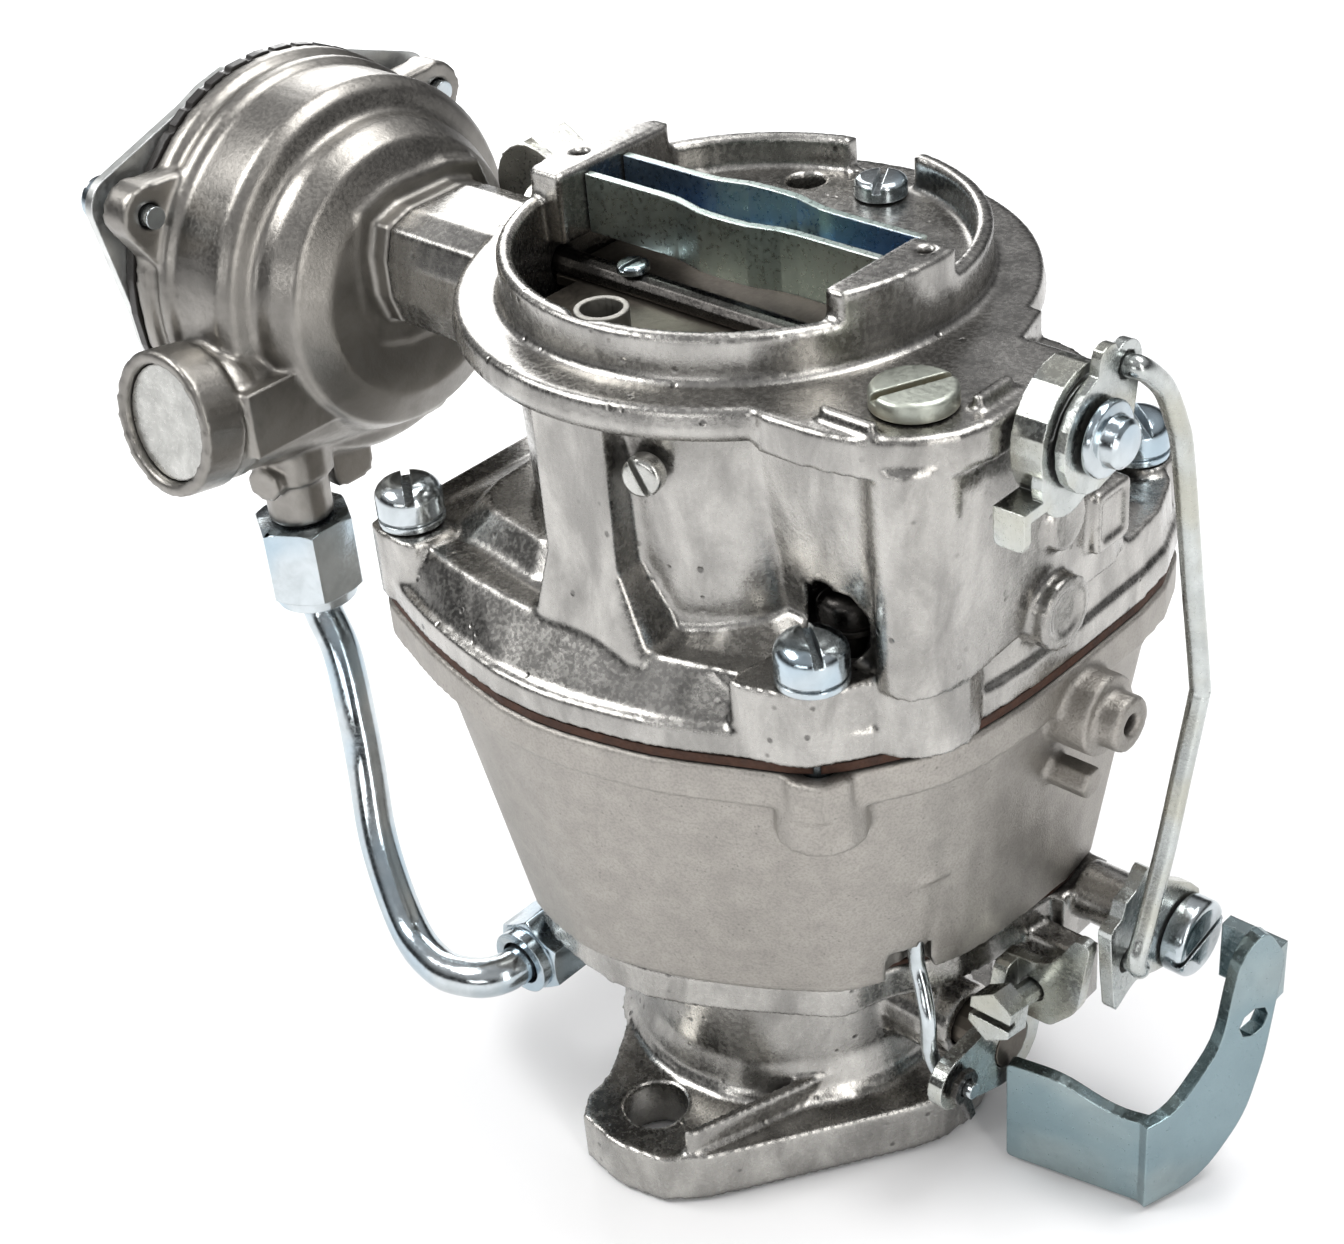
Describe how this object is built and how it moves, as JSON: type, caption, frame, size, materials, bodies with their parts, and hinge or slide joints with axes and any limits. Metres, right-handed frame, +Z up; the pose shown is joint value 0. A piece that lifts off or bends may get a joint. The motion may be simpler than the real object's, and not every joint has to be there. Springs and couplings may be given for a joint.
{
  "type": "carburetor",
  "caption": "Single-barrel downdraft carburetor with float bowl, automatic choke, fast idle cam, choke rod, pump linkage and throttle lever that turn together.",
  "frame": {"origin": "centre of the throttle bore on the underside of the mounting flange", "axes": "+Z up along the throttle bore, +X along the throttle shaft towards the levers, mounting studs on the Y axis"},
  "size_m": [0.1752, 0.1013, 0.1559],
  "materials": {
    "polished_casting": "bright die-cast zinc alloy, polished, mottled, with fine pits",
    "blasted_casting": "bead-blasted die-cast zinc alloy, matte warm grey",
    "satin_casting": "satin die-cast alloy, warm grey",
    "bright_zinc": "bright bluish-white zinc plate on steel",
    "blue_zinc": "satin zinc plate with a blue-green passivation",
    "yellow_zinc": "bright, slightly yellow zinc plate on steel",
    "black_steel": "black oxide on steel, with bright edges",
    "grey_steel": "dark grey phosphated steel",
    "brass": "plain brass",
    "alloy": "bright turned light alloy",
    "gasket_paper": "dark brown gasket fibre",
    "bakelite": "black moulded phenolic"
  },
  "bodies": {
    "carburetor": {"throttle_body": "polished_casting", "air_horn": "polished_casting", "float_bowl": "blasted_casting", "choke_housing": "satin_casting", "cover_screw_front_left": "bright_zinc", "cover_screw_front_right": "bright_zinc", "cover_screw_rear_right": "bright_zinc", "cover_screw_rear_left": "bright_zinc", "pump_well_plug": "bright_zinc", "platform_screw": "bright_zinc", "stud_bridge": "bright_zinc", "fuel_inlet_fitting": "bright_zinc", "float_hinge_pin": "bright_zinc", "pump_spring": "bright_zinc", "choke_retainer": "bright_zinc", "choke_cover_screw_1": "bright_zinc", "choke_cover_screw_2": "bright_zinc", "choke_cover_screw_3": "bright_zinc", "tube_nut_upper": "bright_zinc", "tube_nut_lower": "bright_zinc", "choke_tube": "bright_zinc", "cam_screw": "bright_zinc", "idle_mixture_spring": "bright_zinc", "body_screw_left": "bright_zinc", "body_screw_right": "bright_zinc", "well_screw": "black_steel", "horn_side_screw": "black_steel", "needle_seat": "brass", "main_jet": "brass", "choke_coil": "brass", "booster_venturi": "alloy", "choke_cylinder_plug": "alloy", "vent_tube": "alloy", "throttle_body_gasket": "gasket_paper", "bowl_gasket": "gasket_paper", "choke_cover": "bakelite"},
    "choke_valve_body": {"choke_shaft": "black_steel", "choke_valve": "grey_steel", "choke_valve_screw": "bright_zinc", "choke_lever": "yellow_zinc", "choke_trip_lever": "yellow_zinc", "choke_shaft_nut": "bright_zinc", "choke_inner_lever": "bright_zinc"},
    "choke_rod_body": {"choke_rod": "yellow_zinc"},
    "fast_idle_cam_body": {"fast_idle_cam": "yellow_zinc"},
    "choke_piston_body": {"choke_piston": "alloy"},
    "throttle": {"throttle_shaft": "grey_steel", "throttle_valve": "brass", "throttle_lever": "yellow_zinc", "strap_lever": "blue_zinc"},
    "pump_link_body": {"pump_link": "bright_zinc", "pump_cotter_pin": "black_steel"},
    "pump_plunger_body": {"pump_plunger": "brass"},
    "float": {"float_assembly": "brass"},
    "needle": {"needle_valve": "brass"},
    "power_piston_body": {"power_piston": "brass"},
    "idle_stop_screw_body": {"idle_stop_screw": "yellow_zinc"},
    "idle_mixture_screw_body": {"idle_mixture_screw": "brass"}
  },
  "joints": [
    {"name": "throttle_turn", "type": "hinge", "parent": "carburetor", "child": "throttle", "pos_m": [0, 0, 0.022], "axis": [1, 0, 0], "range_deg": [0, 75]},
    {"name": "pump_link_swing", "type": "hinge", "parent": "throttle", "child": "pump_link_body", "pos_m": [0.0428, -0.0135, 0.024], "axis": [1, 0, 0], "range_deg": [-54, 1]},
    {"name": "pump_stroke", "type": "slide", "parent": "carburetor", "child": "pump_plunger_body", "axis": [0, 0, -1], "range_m": [0, 0.016]},
    {"name": "idle_stop_adjust", "type": "slide", "parent": "throttle", "child": "idle_stop_screw_body", "axis": [0, -0.9806, 0.1961], "range_m": [0, 0.003]},
    {"name": "idle_mixture_adjust", "type": "slide", "parent": "carburetor", "child": "idle_mixture_screw_body", "axis": [0, 1, 0], "range_m": [0, 0.003]},
    {"name": "choke_turn", "type": "hinge", "parent": "carburetor", "child": "choke_valve_body", "pos_m": [0, -0.005, 0.1348], "axis": [-1, 0, 0], "range_deg": [0, 75], "stiffness_Nm_per_rad": 0.02, "springref_deg": -22.92},
    {"name": "choke_rod_swing", "type": "hinge", "parent": "choke_valve_body", "child": "choke_rod_body", "pos_m": [0.062, 0.0006, 0.142], "axis": [1, 0, 0], "range_deg": [-1, 76]},
    {"name": "fast_idle_cam_turn", "type": "hinge", "parent": "carburetor", "child": "fast_idle_cam_body", "pos_m": [0.058, 0.022, 0.0373], "axis": [1, 0, 0], "range_deg": [-1, 42.5]},
    {"name": "choke_piston_slide", "type": "slide", "parent": "carburetor", "child": "choke_piston_body", "axis": [0, -0.9848, 0.1736], "range_m": [0, 0.0125]},
    {"name": "float_swing", "type": "hinge", "parent": "carburetor", "child": "float", "pos_m": [-0.0335, 0.021, 0.08], "axis": [0, 1, 0], "range_deg": [0, 4]},
    {"name": "needle_slide", "type": "slide", "parent": "carburetor", "child": "needle", "axis": [0, 0, -1], "range_m": [0, 0.0008]},
    {"name": "power_piston_slide", "type": "slide", "parent": "carburetor", "child": "power_piston_body", "axis": [0, 0, -1], "range_m": [0, 0.006]}
  ],
  "couplings": [
    {"joint": "pump_link_swing", "follows": "throttle_turn", "ratio": -0.71},
    {"joint": "pump_stroke", "follows": "throttle_turn", "m_per_rad": 0.012},
    {"joint": "choke_rod_swing", "follows": "choke_turn", "ratio": 0.9844},
    {"joint": "fast_idle_cam_turn", "follows": "choke_turn", "ratio": 0.556},
    {"joint": "choke_piston_slide", "follows": "choke_turn", "m_per_rad": 0.0092},
    {"joint": "needle_slide", "follows": "float_swing", "m_per_rad": 0.006}
  ]
}
